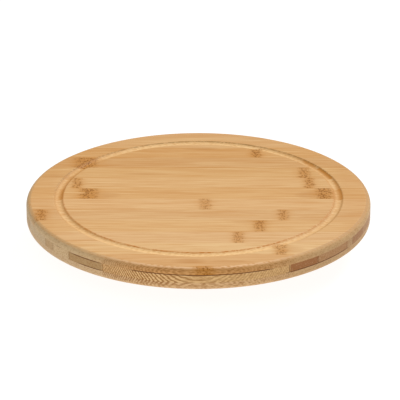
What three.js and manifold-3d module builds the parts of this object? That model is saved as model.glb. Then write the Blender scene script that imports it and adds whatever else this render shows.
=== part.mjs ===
// A bamboo lazy susan: a round laminated board with a shallow groove near its rim, carried by a
// sheet-metal ball bearing on a smaller round base with four rubber feet.
// Millimetres, +Z up. The origin is at the centre of the plane that the feet stand on.

import * as THREE from 'three';
import { mergeVertices } from 'three/addons/utils/BufferGeometryUtils.js';
import Module from 'manifold-3d';

const wasm = await Module();
wasm.setup();

// ---- Driving dimensions ----

// Board: three plies, the grain of all of them running along X.
const BOARD_RADIUS = 150;
const TOP_PLY = 6;
const CORE_PLY = 7;
const BOTTOM_PLY = 7;
const TOP_EDGE_ROUND = 5;
const BOTTOM_EDGE_ROUND = 4;

// Shallow groove in the top face, the mark of a 12.7 mm ball-nosed cutter.
const GROOVE_RADIUS = 122;
const GROOVE_WIDTH = 8.2;
const GROOVE_DEPTH = 1.5;

// Base and feet.
const BASE_RADIUS = 90;
const BASE_THICKNESS = 10;
const BASE_EDGE_ROUND = 2.5;
const FOOT_HEIGHT = 5;
const FOOT_TOP_RADIUS = 9;
const FOOT_BOTTOM_RADIUS = 8;
const FOOT_EDGE_ROUND = 0.8;
const FOOT_RECESS_RADIUS = 4.6;
const FOOT_RECESS_DEPTH = 3;
const FOOT_CIRCLE = 76;
const ACCESS_HOLE_RADIUS = 8;

// Swivel bearing: two stamped square plates with a ring of balls between them.
const PLATE_SIDE = 101.6;
const PLATE_CORNER = 6;
const SHEET = 1.2;
const BEARING_HEIGHT = 8;
const SCREW_SPACING = 88.9;
const PLATE_HOLE_RADIUS = 2.1;
const RACE_RADIUS = 35;
const RACE_INNER_ANGLE = -152;
const RACE_OUTER_ANGLE = -48;
const BALL_RADIUS = 2.38;
const BALL_PLAY = 0.17;
const BALL_COUNT = 24;
const LIP_INNER_RADIUS = 29.8;
const LIP_HEIGHT = 2.7;
const LIP_FLAT = 0.25;
const COLLAR_RADIUS = 28;
const COLLAR_FOOT_RADIUS = 31.2;
const COLLAR_FOOT_HEIGHT = 1.1;
const SHOULDER_REACH = 3.2;
const SHOULDER_HEIGHT = 2;
const FLANGE_BEND = 4.2;
const FLANGE_START = 5.2;
const FLANGE_OVERLAP = 0.3;
const CAGE_INNER_RADIUS = 31.8;
const CAGE_OUTER_RADIUS = 38.4;
const CAGE_THICKNESS = 0.8;
const CAGE_HOLE_RADIUS = 2.75;

// Pan-head wood screws and the washers under the foot screws.
const SHANK_RADIUS = 1.5;
const HEAD_RADIUS = 3.4;
const HEAD_HEIGHT = 1.9;
const HEAD_SIDE_HEIGHT = 0.8;
const HEAD_CROWN_RADIUS = 2.5;
const HEAD_CROWN_HEIGHT = 1.7;
const POINT_LENGTH = 3;
const BOARD_SCREW_LENGTH = 12;
const BASE_SCREW_LENGTH = 10;
const RECESS_SPAN = 3.6;
const RECESS_WIDTH = 0.8;
const RECESS_DEPTH = 1.1;
const WASHER_RADIUS = 4;
const WASHER_THICKNESS = 0.8;

// Room left round a screw in the wood or rubber that it goes through.
const SCREW_ROOM = 0.3;

// How far a cutting shape runs past the face that it opens.
const OVERCUT = 1;

// ---- Heights and places that follow from them ----

const BASE_BOTTOM = FOOT_HEIGHT;
const BASE_TOP = BASE_BOTTOM + BASE_THICKNESS;
const BOARD_BOTTOM = BASE_TOP + BEARING_HEIGHT;
const CORE_BOTTOM = BOARD_BOTTOM + BOTTOM_PLY;
const CORE_TOP = CORE_BOTTOM + CORE_PLY;
const BOARD_TOP = CORE_TOP + TOP_PLY;
const BALL_HEIGHT = BASE_TOP + BEARING_HEIGHT / 2;
const SCREW_CIRCLE = SCREW_SPACING / Math.SQRT2;

// Facets round each kind of turned piece.
const BOARD_FACETS = 72;
const BASE_FACETS = 48;
const RACE_FACETS = 48;
const FOOT_FACETS = 16;
const SCREW_FACETS = 10;
const BALL_FACETS = 8;
const BALL_BANDS = 6;

// Straight steps along each kind of arc.
const WIDE_EDGE_STEPS = 4;
const SMALL_EDGE_STEPS = 3;
const GROOVE_STEPS = 6;
const RACE_STEPS = 4;
const CAGE_HOLE_STEPS = 4;

// ---- Materials ----

const bamboo = new THREE.MeshStandardMaterial({ color: 0xe0b47e, roughness: 0.5 });
const bambooCore = new THREE.MeshStandardMaterial({ color: 0xbb8b56, roughness: 0.65 });
const zincSteel = new THREE.MeshStandardMaterial({ color: 0xb9bdc2, roughness: 0.35, metalness: 1 });
const polishedSteel = new THREE.MeshStandardMaterial({ color: 0xd6d8da, roughness: 0.12, metalness: 1 });
const nylon = new THREE.MeshStandardMaterial({ color: 0xe8e6dc, roughness: 0.55 });
const rubber = new THREE.MeshStandardMaterial({ color: 0x2b2a29, roughness: 0.85 });

// ---- Geometry tools ----

/** Keeps only positions, merges shared vertices and drops the empty triangles on a lathe's axis. */
function weld(geometry) {
  const bare = geometry.clone();
  bare.deleteAttribute('normal');
  bare.deleteAttribute('uv');
  const merged = mergeVertices(bare, 1e-4);
  const corners = merged.index.array;
  const kept = [];
  for (let i = 0; i < corners.length; i += 3) {
    const [a, b, c] = corners.slice(i, i + 3);
    if (a !== b && b !== c && c !== a) kept.push(a, b, c);
  }
  merged.setIndex(kept);
  return merged;
}

function toSolid(geometry) {
  const welded = weld(geometry);
  return new wasm.Manifold(new wasm.Mesh({
    numProp: 3,
    vertProperties: new Float32Array(welded.attributes.position.array),
    triVerts: new Uint32Array(welded.index.array),
  }));
}

function toGeometry(solid) {
  const mesh = solid.getMesh();
  const geometry = new THREE.BufferGeometry();
  geometry.setAttribute('position', new THREE.BufferAttribute(mesh.vertProperties, 3));
  geometry.setIndex(new THREE.BufferAttribute(mesh.triVerts, 1));
  geometry.computeVertexNormals();
  return geometry;
}

function cutAway(body, tools) {
  return toGeometry(tools.reduce((rest, tool) => rest.subtract(toSolid(tool)), toSolid(body)));
}

function joinTogether(first, second) {
  return toGeometry(toSolid(first).add(toSolid(second)));
}

/** Turns a counter-clockwise (radius, height) outline about the Z axis. */
function turned(outline, facets) {
  const geometry = new THREE.LatheGeometry(outline.map(([r, z]) => new THREE.Vector2(r, z)), facets);
  geometry.rotateX(Math.PI / 2);
  return weld(geometry);
}

/** Points on an arc in the (radius, height) plane. Angles are in degrees from outward (+radius). */
function arc(centreR, centreZ, radius, fromAngle, toAngle, steps) {
  return Array.from({ length: steps + 1 }, (unused, i) => {
    const angle = THREE.MathUtils.degToRad(fromAngle + (toAngle - fromAngle) * i / steps);
    return [centreR + radius * Math.cos(angle), centreZ + radius * Math.sin(angle)];
  });
}

/** Offsets an open line sideways by a distance, with mitred corners. */
function offsetLine(points, distance) {
  const line = points.map(([r, z]) => new THREE.Vector2(r, z));
  const sideways = (from, to) => {
    const along = to.clone().sub(from).normalize();
    return new THREE.Vector2(-along.y, along.x);
  };
  return line.map((point, i) => {
    const before = i > 0 ? sideways(line[i - 1], point) : sideways(point, line[i + 1]);
    const after = i < line.length - 1 ? sideways(point, line[i + 1]) : before;
    const mitre = before.clone().add(after).normalize();
    const moved = point.clone().addScaledVector(mitre, distance / mitre.dot(before));
    return [moved.x, moved.y];
  });
}

/** A sheet-metal section: a middle line thickened to both sides, as a closed outline. */
function sheetOutline(middleLine) {
  const above = offsetLine(middleLine, SHEET / 2);
  const below = offsetLine(middleLine, -SHEET / 2);
  return [...below, ...above.reverse(), below[0]];
}

/** A plain round bar along Z, for drilling holes. */
function drill(radius, fromZ, toZ, x, y, facets = SCREW_FACETS) {
  const geometry = new THREE.CylinderGeometry(radius, radius, toZ - fromZ, facets);
  geometry.rotateX(Math.PI / 2);
  geometry.translate(x, y, (fromZ + toZ) / 2);
  return geometry;
}

/** The four places at 45, 135, 225 and 315 degrees on a circle. */
function cornerPlaces(circleRadius) {
  return [45, 135, 225, 315].map((degrees) => {
    const angle = THREE.MathUtils.degToRad(degrees);
    return [circleRadius * Math.cos(angle), circleRadius * Math.sin(angle)];
  });
}

function piece(name, geometry, material, position = [0, 0, 0]) {
  const mesh = new THREE.Mesh(geometry, material);
  mesh.name = name;
  mesh.position.set(...position);
  return mesh;
}

function numbered(stem, index) {
  return `${stem}_${String(index + 1).padStart(2, '0')}`;
}

// ---- Board ----

/** Shank holes for the screws that hold the upper bearing plate to the board. */
function boardPilotHoles() {
  const tip = BOARD_BOTTOM + BOARD_SCREW_LENGTH - SHEET;
  return cornerPlaces(SCREW_CIRCLE).map(([x, y]) => (
    drill(SHANK_RADIUS + SCREW_ROOM, BOARD_BOTTOM - OVERCUT, tip + SCREW_ROOM, x, y)
  ));
}

/** Top ply, with the rounded upper edge and the groove. */
function topPly() {
  const halfWidth = GROOVE_WIDTH / 2;
  const grooveArc = (halfWidth ** 2 + GROOVE_DEPTH ** 2) / (2 * GROOVE_DEPTH);
  const spread = THREE.MathUtils.radToDeg(Math.asin(halfWidth / grooveArc));
  const grooveCentre = BOARD_TOP - GROOVE_DEPTH + grooveArc;
  const edge = BOARD_RADIUS - TOP_EDGE_ROUND;
  const outline = [
    [0, CORE_TOP],
    [BOARD_RADIUS, CORE_TOP],
    ...arc(edge, BOARD_TOP - TOP_EDGE_ROUND, TOP_EDGE_ROUND, 0, 90, WIDE_EDGE_STEPS),
    ...arc(GROOVE_RADIUS, grooveCentre, grooveArc, -90 + spread, -90 - spread, GROOVE_STEPS),
    [0, BOARD_TOP],
  ];
  return piece('board_top_ply', turned(outline, BOARD_FACETS), bamboo);
}

function corePly() {
  const outline = [
    [0, CORE_BOTTOM],
    [BOARD_RADIUS, CORE_BOTTOM],
    [BOARD_RADIUS, CORE_TOP],
    [0, CORE_TOP],
  ];
  const disc = turned(outline, BOARD_FACETS);
  return piece('board_core_ply', cutAway(disc, boardPilotHoles()), bambooCore);
}

/** Bottom ply, with the rounded lower edge that fingers get under. */
function bottomPly() {
  const edge = BOARD_RADIUS - BOTTOM_EDGE_ROUND;
  const outline = [
    [0, BOARD_BOTTOM],
    ...arc(edge, BOARD_BOTTOM + BOTTOM_EDGE_ROUND, BOTTOM_EDGE_ROUND, -90, 0, SMALL_EDGE_STEPS),
    [BOARD_RADIUS, CORE_BOTTOM],
    [0, CORE_BOTTOM],
  ];
  const disc = turned(outline, BOARD_FACETS);
  return piece('board_bottom_ply', cutAway(disc, boardPilotHoles()), bamboo);
}

// ---- Swivel bearing, with heights measured from the lower plate's underside ----

/** Middle line of the lower plate's race, from its inner lip out to the flat flange. */
function raceLine() {
  const raceArc = BALL_RADIUS + BALL_PLAY + SHEET / 2;
  return [
    [LIP_INNER_RADIUS, LIP_HEIGHT],
    [RACE_RADIUS - raceArc - LIP_FLAT, LIP_HEIGHT],
    ...arc(RACE_RADIUS, BEARING_HEIGHT / 2, raceArc, RACE_INNER_ANGLE, RACE_OUTER_ANGLE, RACE_STEPS),
    [RACE_RADIUS + SHOULDER_REACH, SHOULDER_HEIGHT],
    [RACE_RADIUS + FLANGE_BEND, SHEET / 2],
    [RACE_RADIUS + FLANGE_START, SHEET / 2],
  ];
}

/** The same line upside down, with the collar that hooks under the lower plate's lip. */
function raceLineWithCollar() {
  const race = raceLine().slice(1).map(([r, z]) => [r, BEARING_HEIGHT - z]);
  return [
    [COLLAR_FOOT_RADIUS, COLLAR_FOOT_HEIGHT],
    [COLLAR_RADIUS, COLLAR_FOOT_HEIGHT],
    [COLLAR_RADIUS, BEARING_HEIGHT - LIP_HEIGHT],
    ...race,
  ];
}

/** Flat square flange with rounded corners, a screw hole in each, and room for the race. */
function squareFlange() {
  const half = PLATE_SIDE / 2;
  const inset = half - PLATE_CORNER;
  const shape = new THREE.Shape();
  shape.absarc(inset, inset, PLATE_CORNER, 0, Math.PI / 2);
  shape.absarc(-inset, inset, PLATE_CORNER, Math.PI / 2, Math.PI);
  shape.absarc(-inset, -inset, PLATE_CORNER, Math.PI, 1.5 * Math.PI);
  shape.absarc(inset, -inset, PLATE_CORNER, 1.5 * Math.PI, 2 * Math.PI);
  const flange = new THREE.ExtrudeGeometry(shape, {
    depth: SHEET,
    bevelEnabled: false,
    curveSegments: SMALL_EDGE_STEPS,
  });
  const roomRadius = RACE_RADIUS + FLANGE_START - FLANGE_OVERLAP;
  const room = drill(roomRadius, -OVERCUT, SHEET + OVERCUT, 0, 0, RACE_FACETS);
  const holes = cornerPlaces(SCREW_CIRCLE).map(([x, y]) => (
    drill(PLATE_HOLE_RADIUS, -OVERCUT, SHEET + OVERCUT, x, y)
  ));
  return cutAway(flange, [room, ...holes]);
}

function lowerPlate() {
  const race = turned(sheetOutline(raceLine()), RACE_FACETS);
  return piece('bearing_lower_plate', joinTogether(squareFlange(), race), zincSteel, [0, 0, BASE_TOP]);
}

function upperPlate() {
  const race = turned(sheetOutline(raceLineWithCollar()), RACE_FACETS);
  const flange = squareFlange();
  flange.translate(0, 0, BEARING_HEIGHT - SHEET);
  return piece('bearing_upper_plate', joinTogether(flange, race), zincSteel, [0, 0, BASE_TOP]);
}

function ballPlaces() {
  return Array.from({ length: BALL_COUNT }, (unused, i) => {
    const angle = i / BALL_COUNT * 2 * Math.PI;
    return [RACE_RADIUS * Math.cos(angle), RACE_RADIUS * Math.sin(angle)];
  });
}

/** Thin flat ring that keeps the balls evenly spaced. */
function ballCage() {
  const rim = new THREE.Shape();
  rim.absarc(0, 0, CAGE_OUTER_RADIUS, 0, 2 * Math.PI);
  const bore = new THREE.Path();
  bore.absarc(0, 0, CAGE_INNER_RADIUS, 0, 2 * Math.PI, true);
  const blank = new THREE.Shape(rim.getPoints(RACE_FACETS / 2).slice(1));
  blank.holes.push(new THREE.Path(bore.getPoints(RACE_FACETS / 2).slice(1)));
  for (const [x, y] of ballPlaces()) {
    const hole = new THREE.Path();
    hole.absarc(x, y, CAGE_HOLE_RADIUS, 0, 2 * Math.PI, true);
    blank.holes.push(new THREE.Path(hole.getPoints(CAGE_HOLE_STEPS).slice(1)));
  }
  const geometry = new THREE.ExtrudeGeometry(blank, { depth: CAGE_THICKNESS, bevelEnabled: false });
  return piece('ball_cage', geometry, nylon, [0, 0, BALL_HEIGHT - CAGE_THICKNESS / 2]);
}

function balls() {
  const geometry = new THREE.SphereGeometry(BALL_RADIUS, BALL_FACETS, BALL_BANDS);
  return ballPlaces().map(([x, y], i) => (
    piece(numbered('ball', i), geometry, polishedSteel, [x, y, BALL_HEIGHT])
  ));
}

// ---- Fasteners ----

/** A pan-head screw pointing down, with the underside of its head at height zero. */
function screwGeometry(length) {
  const outline = [
    [0, -length],
    [SHANK_RADIUS, POINT_LENGTH - length],
    [SHANK_RADIUS, 0],
    [HEAD_RADIUS, 0],
    [HEAD_RADIUS, HEAD_SIDE_HEIGHT],
    [HEAD_CROWN_RADIUS, HEAD_CROWN_HEIGHT],
    [0, HEAD_HEIGHT],
  ];
  const recess = [[RECESS_SPAN, RECESS_WIDTH], [RECESS_WIDTH, RECESS_SPAN]].map(([x, y]) => {
    const slot = new THREE.BoxGeometry(x, y, 2 * RECESS_DEPTH);
    slot.translate(0, 0, HEAD_HEIGHT);
    return slot;
  });
  return cutAway(turned(outline, SCREW_FACETS), recess);
}

/** The same screw pointing up. */
function upwardScrewGeometry(length) {
  return screwGeometry(length).rotateX(Math.PI);
}

/** One screw in each corner of a square, either way up. */
function fourScrews(stem, geometry, circleRadius, headHeight) {
  return cornerPlaces(circleRadius).map(([x, y], i) => (
    piece(numbered(stem, i), geometry, zincSteel, [x, y, headHeight])
  ));
}

function boardScrews() {
  const geometry = upwardScrewGeometry(BOARD_SCREW_LENGTH);
  return fourScrews('board_screw', geometry, SCREW_CIRCLE, BOARD_BOTTOM - SHEET);
}

function baseScrews() {
  return fourScrews('base_screw', screwGeometry(BASE_SCREW_LENGTH), SCREW_CIRCLE, BASE_TOP + SHEET);
}

function footScrews() {
  const geometry = upwardScrewGeometry(BASE_SCREW_LENGTH);
  return fourScrews('foot_screw', geometry, FOOT_CIRCLE, FOOT_RECESS_DEPTH - WASHER_THICKNESS);
}

function footWashers() {
  const inner = SHANK_RADIUS + SCREW_ROOM;
  const top = FOOT_RECESS_DEPTH;
  const bottom = top - WASHER_THICKNESS;
  const outline = [
    [inner, bottom],
    [WASHER_RADIUS, bottom],
    [WASHER_RADIUS, top],
    [inner, top],
    [inner, bottom],
  ];
  const geometry = turned(outline, FOOT_FACETS);
  return cornerPlaces(FOOT_CIRCLE).map(([x, y], i) => (
    piece(numbered('foot_washer', i), geometry, zincSteel, [x, y, 0])
  ));
}

// ---- Base ----

/** Round base with pilot holes for both sets of screws, and the hole a screwdriver goes through. */
function baseDisc() {
  const edge = BASE_RADIUS - BASE_EDGE_ROUND;
  const outline = [
    [0, BASE_BOTTOM],
    ...arc(edge, BASE_BOTTOM + BASE_EDGE_ROUND, BASE_EDGE_ROUND, -90, 0, SMALL_EDGE_STEPS),
    ...arc(edge, BASE_TOP - BASE_EDGE_ROUND, BASE_EDGE_ROUND, 0, 90, SMALL_EDGE_STEPS),
    [0, BASE_TOP],
  ];
  const pilot = SHANK_RADIUS + SCREW_ROOM;
  const baseTip = BASE_TOP + SHEET - BASE_SCREW_LENGTH - SCREW_ROOM;
  const footTip = FOOT_RECESS_DEPTH - WASHER_THICKNESS + BASE_SCREW_LENGTH + SCREW_ROOM;
  const holes = [
    drill(ACCESS_HOLE_RADIUS, BASE_BOTTOM - OVERCUT, BASE_TOP + OVERCUT, SCREW_CIRCLE, 0, 2 * SCREW_FACETS),
    ...cornerPlaces(SCREW_CIRCLE).map(([x, y]) => drill(pilot, baseTip, BASE_TOP + OVERCUT, x, y)),
    ...cornerPlaces(FOOT_CIRCLE).map(([x, y]) => drill(pilot, BASE_BOTTOM - OVERCUT, footTip, x, y)),
  ];
  return piece('base_disc', cutAway(turned(outline, BASE_FACETS), holes), bamboo);
}

/** Rubber feet, each with a recess that keeps its screw off the table. */
function rubberFeet() {
  const inner = SHANK_RADIUS + SCREW_ROOM;
  const outline = [
    [FOOT_RECESS_RADIUS, 0],
    [FOOT_BOTTOM_RADIUS - FOOT_EDGE_ROUND, 0],
    [FOOT_BOTTOM_RADIUS, FOOT_EDGE_ROUND],
    [FOOT_TOP_RADIUS, FOOT_HEIGHT],
    [inner, FOOT_HEIGHT],
    [inner, FOOT_RECESS_DEPTH],
    [FOOT_RECESS_RADIUS, FOOT_RECESS_DEPTH],
    [FOOT_RECESS_RADIUS, 0],
  ];
  const geometry = turned(outline, FOOT_FACETS);
  return cornerPlaces(FOOT_CIRCLE).map(([x, y], i) => (
    piece(numbered('rubber_foot', i), geometry, rubber, [x, y, 0])
  ));
}

// ---- Assembly: what turns with the board, the ball ring between, and what stands still ----

const turntable = new THREE.Group();
turntable.add(topPly(), corePly(), bottomPly(), upperPlate(), ...boardScrews());

const ballRing = new THREE.Group();
ballRing.add(ballCage(), ...balls());

const base = new THREE.Group();
base.add(baseDisc(), lowerPlate(), ...baseScrews(), ...rubberFeet(), ...footWashers(), ...footScrews());

const lazySusan = new THREE.Group();
lazySusan.add(base, ballRing, turntable);

export default lazySusan;
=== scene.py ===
import math

import bmesh
import bpy
from mathutils import Matrix, Vector


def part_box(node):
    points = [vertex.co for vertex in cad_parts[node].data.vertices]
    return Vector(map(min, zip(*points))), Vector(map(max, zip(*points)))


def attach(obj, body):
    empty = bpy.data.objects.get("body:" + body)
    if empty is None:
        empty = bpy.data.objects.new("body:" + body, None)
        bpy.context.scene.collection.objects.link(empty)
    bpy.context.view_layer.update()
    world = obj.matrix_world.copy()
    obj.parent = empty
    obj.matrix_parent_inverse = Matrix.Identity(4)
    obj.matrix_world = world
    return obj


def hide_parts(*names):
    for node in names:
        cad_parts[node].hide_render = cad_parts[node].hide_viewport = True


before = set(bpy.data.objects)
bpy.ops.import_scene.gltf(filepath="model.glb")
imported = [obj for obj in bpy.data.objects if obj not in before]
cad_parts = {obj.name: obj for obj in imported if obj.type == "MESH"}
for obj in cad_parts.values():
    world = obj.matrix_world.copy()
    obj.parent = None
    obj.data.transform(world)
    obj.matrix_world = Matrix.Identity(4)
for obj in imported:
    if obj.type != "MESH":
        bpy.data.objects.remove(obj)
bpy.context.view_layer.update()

MM = 0.001

# ---- Sizes read from the frame, in metres ----

TOP_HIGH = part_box("board_top_ply")[1]
CORE_LOW, CORE_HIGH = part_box("board_core_ply")
UNDER_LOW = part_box("board_bottom_ply")[0]
BASE_LOW, BASE_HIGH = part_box("base_disc")
PLATE_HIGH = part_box("bearing_lower_plate")[1]
BALL_LOW, BALL_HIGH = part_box("ball_01")
CAGE_LOW, CAGE_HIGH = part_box("ball_cage")
WASHER_LOW, WASHER_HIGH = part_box("foot_washer_01")
FOOT_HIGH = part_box("rubber_foot_01")[1]

BOARD_RADIUS = TOP_HIGH.x
BOARD_TOP = TOP_HIGH.z
CORE_TOP = CORE_HIGH.z
CORE_BOTTOM = CORE_LOW.z
BOARD_BOTTOM = UNDER_LOW.z
BASE_RADIUS = BASE_HIGH.x
BASE_TOP = BASE_HIGH.z
BASE_BOTTOM = BASE_LOW.z
PLATE_HALF_SIDE = PLATE_HIGH.x
RACE_RADIUS = (BALL_LOW.x + BALL_HIGH.x) / 2
BALL_RADIUS = (BALL_HIGH.z - BALL_LOW.z) / 2
BEARING_HEIGHT = BOARD_BOTTOM - BASE_TOP

# ---- Sizes that boxes don't give, the same as in the CAD part ----

TOP_EDGE_ROUND = 5 * MM
BOTTOM_EDGE_ROUND = 4 * MM
GROOVE_RADIUS = 122 * MM
GROOVE_HALF_WIDTH = 4.1 * MM
GROOVE_DEPTH = 1.5 * MM
BASE_EDGE_ROUND = 2.5 * MM
ACCESS_HOLE_RADIUS = 8 * MM
PLATE_CORNER = 6 * MM
PLATE_HOLE_RADIUS = 2.1 * MM
SHEET = 1.2 * MM
CAGE_INNER_RADIUS = 31.8 * MM
SCREW_SPACING = 88.9 * MM
SCREW_CIRCLE = SCREW_SPACING / math.sqrt(2)
FOOT_CIRCLE = 76 * MM
FOOT_RECESS_RADIUS = 4.6 * MM
FOOT_RECESS_DEPTH = 3 * MM
FOOT_BOTTOM_RADIUS = 8 * MM
FOOT_TOP_RADIUS = 9 * MM
HEAD_RADIUS = 3.4 * MM
HEAD_HEIGHT = 1.9 * MM
SHANK_RADIUS = 1.5 * MM
BOARD_SCREW_LENGTH = 12 * MM
BASE_SCREW_LENGTH = 10 * MM
SCREW_ROOM = 0.3 * MM
PILOT_RADIUS = SHANK_RADIUS + SCREW_ROOM


def add_object(name, data):
    """Puts a new object in the scene and returns it."""
    item = bpy.data.objects.new(name, data)
    bpy.context.scene.collection.objects.link(item)
    return item


# ---- Camera: a long lens, CAMERA_ELEVATION degrees above the board ----

CAMERA_ELEVATION = 23.55
CAMERA_DISTANCE = 16 * BOARD_RADIUS
CAMERA_LENS = 247.5
CAMERA_SENSOR = 36
AIM_RIGHT = 0.0091 * BOARD_RADIUS
AIM_UP = 0.1086 * BOARD_RADIUS
CAMERA_TARGET = Vector((AIM_RIGHT, 0, BOARD_BOTTOM + AIM_UP))


def make_camera():
    elevation = math.radians(CAMERA_ELEVATION)
    back = Vector((0, -math.cos(elevation), math.sin(elevation)))
    data = bpy.data.cameras.new("camera")
    data.lens = CAMERA_LENS
    data.sensor_width = CAMERA_SENSOR
    data.clip_start = 0.1
    data.clip_end = 20
    camera = add_object("camera", data)
    camera.location = CAMERA_TARGET + CAMERA_DISTANCE * back
    camera.rotation_euler = back.to_track_quat("Z", "Y").to_euler()
    bpy.context.scene.camera = camera


# ---- Light and floor: a soft key from behind on the right and a weak fill from the front ----

WORLD_STRENGTH = 0.42
KEY_DIRECTION = (0.8, 1.05, 1.25)
KEY_STRENGTH = 2.1
KEY_SPREAD = 24
FILL_PLACE = (-0.3, -0.95, 0.95)
FILL_SIZE = (0.9, 0.6)
FILL_POWER = 3.5
FILL_AIM = (0, 0, 0.03)
FLOOR_HALF_SIDE = 6
FLOOR_DROP = 0.02 * MM
FLOOR_GREY = 0.2
FLOOR_GLOW = 0.9


def make_area_light(name, place, size, power, aim):
    data = bpy.data.lights.new(name, "AREA")
    data.shape = "RECTANGLE"
    data.size, data.size_y = size
    data.energy = power
    light = add_object(name, data)
    light.location = place
    light.rotation_euler = (Vector(place) - Vector(aim)).to_track_quat("Z", "Y").to_euler()


def make_sun(name, direction, strength, spread):
    """A wide, far-off lamp. direction points from the scene towards it and spread is in degrees."""
    data = bpy.data.lights.new(name, "SUN")
    data.energy = strength
    data.angle = math.radians(spread)
    light = add_object(name, data)
    light.rotation_euler = Vector(direction).to_track_quat("Z", "Y").to_euler()


def make_light():
    world = bpy.data.worlds.new("studio")
    bpy.context.scene.world = world
    world.use_nodes = True
    background = world.node_tree.nodes["Background"]
    background.inputs["Color"].default_value = (1, 1, 1, 1)
    background.inputs["Strength"].default_value = WORLD_STRENGTH
    make_sun("key", KEY_DIRECTION, KEY_STRENGTH, KEY_SPREAD)
    make_area_light("fill", FILL_PLACE, FILL_SIZE, FILL_POWER, FILL_AIM)


def make_floor():
    """A floor that glows nearly white by itself, so that only a faint shadow shows on it."""
    mesh = bpy.data.meshes.new("floor")
    half = FLOOR_HALF_SIDE
    corners = [(-half, -half), (half, -half), (half, half), (-half, half)]
    mesh.from_pydata([(x, y, -FLOOR_DROP) for x, y in corners], [], [(0, 1, 2, 3)])
    floor = add_object("floor", mesh)
    material = bpy.data.materials.new("floor")
    material.use_nodes = True
    shader = material.node_tree.nodes["Principled BSDF"]
    shader.inputs["Base Color"].default_value = (FLOOR_GREY, FLOOR_GREY, FLOOR_GREY, 1)
    shader.inputs["Roughness"].default_value = 0.9
    shader.inputs["Specular IOR Level"].default_value = 0.1
    shader.inputs["Emission Color"].default_value = (1, 1, 1, 1)
    shader.inputs["Emission Strength"].default_value = FLOOR_GLOW
    floor.data.materials.append(material)


# ---- Node-tree helper ----

def linear(red, green, blue):
    """A colour given as 0 to 255 screen values, as the linear colour a shader takes."""
    def one(value):
        share = value / 255
        return share / 12.92 if share <= 0.04045 else ((share + 0.055) / 1.055) ** 2.4
    return one(red), one(green), one(blue), 1.0


class Tree:
    """Short calls that add nodes to one material and join them up."""

    def __init__(self, name):
        self.material = bpy.data.materials.new(name)
        self.material.use_nodes = True
        self.tree = self.material.node_tree
        self.shader = self.tree.nodes["Principled BSDF"]

    def feed(self, socket, value):
        """Joins another node's output to a socket, or sets the socket to a constant."""
        if isinstance(value, bpy.types.NodeSocket):
            self.tree.links.new(value, socket)
        else:
            socket.default_value = value

    def set(self, node=None, **inputs):
        """Sets or joins a node's sockets, with spaces in their names written as underscores.

        The node is the shader where none is given.
        """
        for name, value in inputs.items():
            self.feed((node or self.shader).inputs[name.replace("_", " ")], value)

    def add(self, kind, **inputs):
        """Adds a node and sets or joins its sockets."""
        node = self.tree.nodes.new("ShaderNode" + kind)
        self.set(node, **inputs)
        return node

    def math(self, operation, *values):
        node = self.add("Math")
        node.operation = operation
        for socket, value in zip(node.inputs, values):
            self.feed(socket, value)
        return node.outputs[0]

    def times(self, first, *others):
        """The product of two or more numbers."""
        for other in others:
            first = self.math("MULTIPLY", first, other)
        return first

    def gap(self, first, second):
        """How far apart two numbers are."""
        return self.math("ABSOLUTE", self.math("SUBTRACT", first, second))

    def combine(self, x, y, z):
        node = self.add("CombineXYZ")
        for socket, value in zip(node.inputs, (x, y, z)):
            self.feed(socket, value)
        return node.outputs[0]

    def stretch(self, x, y, z, share):
        """A place with x shrunk to a share, so that a pattern there is drawn out along the fibres."""
        return self.combine(self.times(x, share), y, z)

    def separate(self, vector):
        return self.add("SeparateXYZ", Vector=vector).outputs

    def coordinates(self):
        """Object coordinates in millimetres, as three sockets."""
        scale = self.add("VectorMath", Vector=self.add("TexCoord").outputs["Object"])
        scale.operation = "SCALE"
        self.set(scale, Scale=1 / MM)
        return self.separate(scale.outputs[0])

    def facing(self):
        """The surface's own direction in the object's axes, as three sockets."""
        return self.separate(self.add("TexCoord").outputs["Normal"])

    def noise(self, vector, scale, detail, roughness):
        node = self.add("TexNoise", Vector=vector, Scale=scale, Detail=detail, Roughness=roughness)
        return node.outputs[0]

    def cells(self, vector, scale, randomness, output="Distance"):
        node = self.add("TexVoronoi", Vector=vector, Scale=scale, Randomness=randomness)
        return node.outputs[output]

    def chance(self, value):
        """A number from 0 to 1 that depends on a whole number."""
        node = self.add("TexWhiteNoise")
        node.noise_dimensions = "1D"
        self.set(node, W=value)
        return node.outputs["Value"]

    def ramp(self, value, low, high, to_low=0.0, to_high=1.0, kind="SMOOTHSTEP"):
        """Maps low..high onto to_low..to_high, held at both ends."""
        node = self.add("MapRange", Value=value, From_Min=low, From_Max=high,
                        To_Min=to_low, To_Max=to_high)
        node.interpolation_type = kind
        return node.outputs[0]

    def mix(self, share, first, second, blend="MIX"):
        node = self.add("Mix")
        node.data_type = "RGBA"
        node.blend_type = blend
        self.feed(node.inputs[0], share)
        self.feed(node.inputs[6], first)
        self.feed(node.inputs[7], second)
        return node.outputs[2]

    def pick(self, value, starts):
        """Picks the last (start, colour) that a value from 0 to 1 has passed. Colours are 0 to 255."""
        node = self.add("ValToRGB", Fac=value)
        ramp = node.color_ramp
        ramp.interpolation = "CONSTANT"
        while len(ramp.elements) < len(starts):
            ramp.elements.new(1.0)
        for element, (start, colour) in zip(ramp.elements, starts):
            element.position = start
            element.color = linear(*colour)
        return node.outputs[0]

    def steps(self, value, colours):
        """Picks a colour by a whole number from 0 up."""
        count = len(colours)
        middle = self.math("DIVIDE", self.math("ADD", value, 0.5), count)
        return self.pick(middle, [(i / count, colour) for i, colour in enumerate(colours)])

    def bands(self, value, starts, low, high):
        """Picks a colour by the (start, colour) band that a value from low to high lies in."""
        shares = [((start - low) / (high - low), colour) for start, colour in starts]
        return self.pick(self.ramp(value, low, high, kind="LINEAR"), shares)

    def bump(self, height, distance, strength):
        node = self.add("Bump", Strength=strength, Distance=distance, Height=height)
        self.set(Normal=node.outputs[0])


# ---- Bamboo, with all places in millimetres ----

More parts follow.
